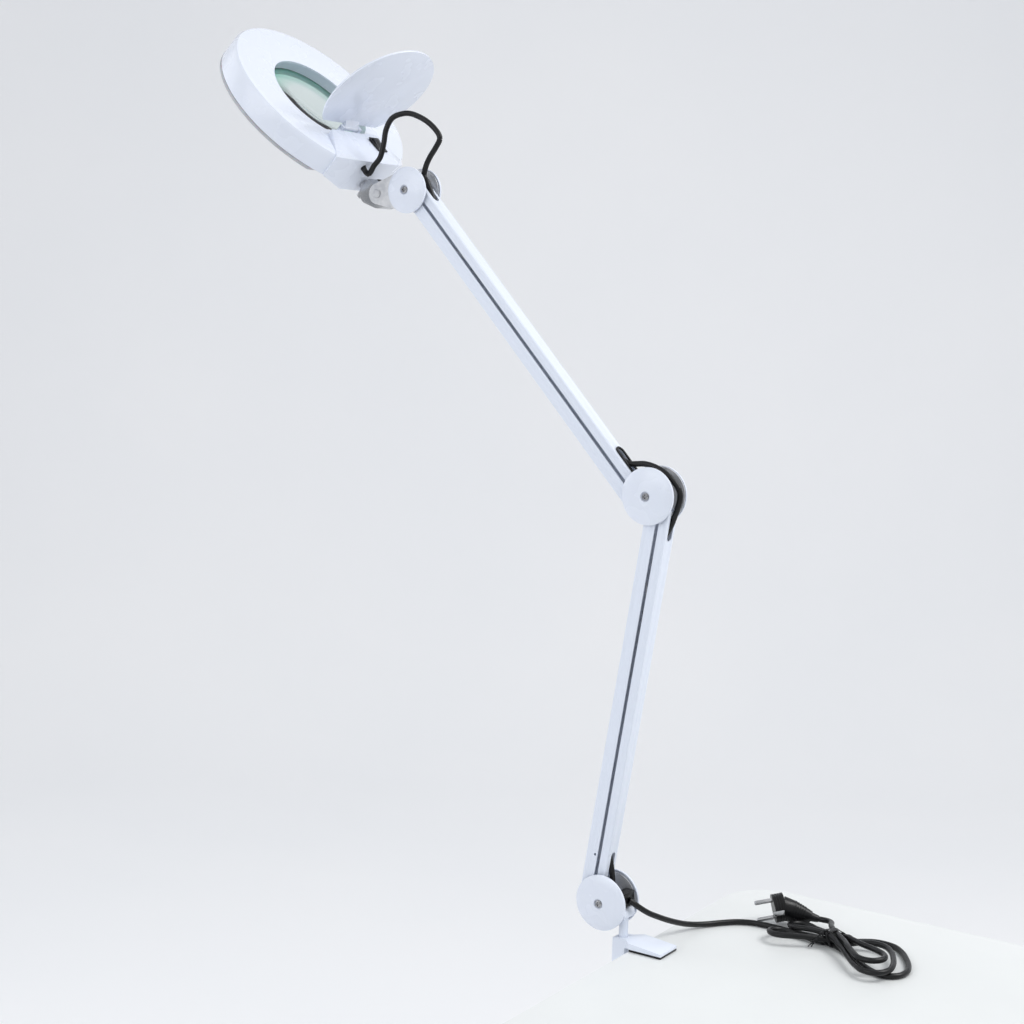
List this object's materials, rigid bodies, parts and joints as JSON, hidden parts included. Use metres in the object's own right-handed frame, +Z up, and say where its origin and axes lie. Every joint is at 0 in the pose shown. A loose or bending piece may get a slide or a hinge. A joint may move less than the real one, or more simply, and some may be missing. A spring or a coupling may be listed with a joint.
{
  "type": "magnifying lamp",
  "caption": "Clamp-on magnifying lamp: LED ring head with a glass lens and flip cover on two spring-balanced parallelogram arms.",
  "frame": {"origin": "centre of the upper jaw pad's underside, which rests on the desk top", "axes": "+Z up, +X from the clamp's spine towards the tip of its upper jaw (into the desk), Y across the arms"},
  "size_m": [0.7959, 0.289, 1.0712],
  "materials": {
    "white_plastic": "glossy moulded ABS, cool white",
    "white_paint": "semi-gloss powder coat over steel",
    "zinc": "zinc-plated steel",
    "chrome": "polished chrome plate",
    "black_plastic": "black moulded plastic",
    "black_rubber": "soft black PVC",
    "glass": "clear ground glass with a green edge",
    "diffuser": "frosted translucent plastic",
    "board": "white circuit board with its driver"
  },
  "bodies": {
    "clamp": {"clamp_frame": "white_paint", "upper_jaw_pad": "black_rubber", "mains_cord": "black_rubber", "cord_hank": "black_rubber", "cord_tie": "black_plastic", "plug_lead": "black_rubber", "plug_body": "black_rubber", "plug_pin_upper": "chrome", "plug_pin_lower": "chrome"},
    "pressure_foot": {"pressure_pad": "zinc"},
    "clamp_screw": {"clamp_screw": "zinc", "clamp_knob": "black_plastic"},
    "base": {"swivel_post": "white_paint", "post_bolt": "zinc", "base_plate_front": "zinc", "base_plate_rear": "zinc", "base_cover_front": "white_plastic", "base_cover_rear": "white_plastic", "base_screw": "zinc", "base_rivet_outer": "zinc", "base_rivet_inner": "zinc", "cord_clip": "black_rubber", "base_cable": "black_rubber"},
    "lower_inner": {"lower_inner_channel": "white_paint", "lower_cable": "black_rubber", "lower_spring": "zinc"},
    "lower_outer": {"lower_outer_channel": "white_paint"},
    "elbow": {"elbow_plate_front": "zinc", "elbow_plate_rear": "zinc", "elbow_cover_front": "white_plastic", "elbow_cover_rear": "white_plastic", "elbow_bolt": "zinc", "elbow_rivet_lower_outer": "zinc", "elbow_rivet_lower_inner": "zinc", "elbow_rivet_upper_outer": "zinc", "elbow_rivet_upper_inner": "zinc", "elbow_cord": "black_rubber"},
    "upper_inner": {"upper_inner_channel": "white_paint", "upper_cable": "black_rubber", "upper_spring": "zinc", "cable_grommet": "black_rubber"},
    "upper_outer": {"upper_outer_channel": "white_paint"},
    "head_link": {"head_link_plate_front": "zinc", "head_link_plate_rear": "zinc", "head_cover_front": "white_plastic", "head_cover_rear": "white_plastic", "head_screw": "zinc", "head_rivet_outer": "zinc", "head_rivet_inner": "zinc", "tilt_pin": "zinc", "head_cord": "black_rubber"},
    "tilt_block": {"tilt_block": "chrome"},
    "head": {"head_shell": "white_plastic", "swivel_nut": "chrome", "diffuser_ring": "diffuser", "lens": "glass", "led_ring": "board", "switch_frame": "black_plastic"},
    "switch_rocker": {"switch_rocker": "black_plastic"},
    "flip_cover": {"flip_cover": "white_plastic"}
  },
  "joints": [
    {"name": "screw_travel", "type": "slide", "parent": "clamp", "child": "pressure_foot", "axis": [0, 0, 1], "range_m": [-0.02301, 0.01801]},
    {"name": "screw_turn", "type": "hinge", "parent": "pressure_foot", "child": "clamp_screw", "pos_m": [0, 0, -0.07], "axis": [0, 0, 1], "range_deg": [-5520, 4320]},
    {"name": "base_swivel", "type": "hinge", "parent": "clamp", "child": "base", "pos_m": [-0.0349, 0, 0.02], "axis": [0, 0, 1], "range_deg": [-170, 170], "deforming": ["mains_cord"]},
    {"name": "shoulder", "type": "hinge", "parent": "base", "child": "lower_inner", "pos_m": [-0.06311, 0, 0.0413], "axis": [0, 1, 0], "range_deg": [-38, 34], "deforming": ["base_cable"]},
    {"name": "shoulder_outer", "type": "hinge", "parent": "base", "child": "lower_outer", "pos_m": [-0.07695, 0, 0.0434], "axis": [0, 1, 0], "range_deg": [-38, 34], "deforming": ["lower_spring"]},
    {"name": "elbow_level", "type": "hinge", "parent": "lower_inner", "child": "elbow", "pos_m": [-0.0012, 0, 0.44933], "axis": [0, 1, 0], "range_deg": [-34, 38], "deforming": ["elbow_cord"]},
    {"name": "upper_lift", "type": "hinge", "parent": "elbow", "child": "upper_inner", "pos_m": [-0.03133, 0, 0.47067], "axis": [0, 1, 0], "range_deg": [-38, 38], "deforming": ["elbow_cord"]},
    {"name": "upper_lift_outer", "type": "hinge", "parent": "elbow", "child": "upper_outer", "pos_m": [-0.04155, 0, 0.4611], "axis": [0, 1, 0], "range_deg": [-38, 38], "deforming": ["upper_spring"]},
    {"name": "head_level", "type": "hinge", "parent": "upper_inner", "child": "head_link", "pos_m": [-0.31348, 0, 0.77186], "axis": [0, 1, 0], "range_deg": [-38, 38], "deforming": ["head_cord"]},
    {"name": "head_tilt", "type": "hinge", "parent": "head_link", "child": "tilt_block", "pos_m": [-0.36714, 0, 0.76672], "axis": [0, 1, 0], "range_deg": [-80, 50], "deforming": ["head_cord"]},
    {"name": "head_swivel", "type": "hinge", "parent": "tilt_block", "child": "head", "pos_m": [-0.39028, 0, 0.77329], "axis": [0.7009, 0, -0.7133], "range_deg": [-80, 80], "deforming": ["head_cord"]},
    {"name": "cover_hinge", "type": "hinge", "parent": "head", "child": "flip_cover", "pos_m": [-0.41651, 0, 0.8385], "axis": [0, 1, 0], "range_deg": [-97, 10]},
    {"name": "switch_rock", "type": "hinge", "parent": "head", "child": "switch_rocker", "pos_m": [-0.39729, 0.024, 0.82094], "axis": [0, 1, 0], "range_deg": [0, 16]}
  ],
  "couplings": [
    {"joint": "screw_turn", "follows": "screw_travel", "rad_per_m": 4188.8},
    {"joint": "shoulder_outer", "follows": "shoulder", "ratio": 1},
    {"joint": "elbow_level", "follows": "shoulder", "ratio": -1},
    {"joint": "upper_lift_outer", "follows": "upper_lift", "ratio": 1},
    {"joint": "head_level", "follows": "upper_lift", "ratio": -1}
  ]
}
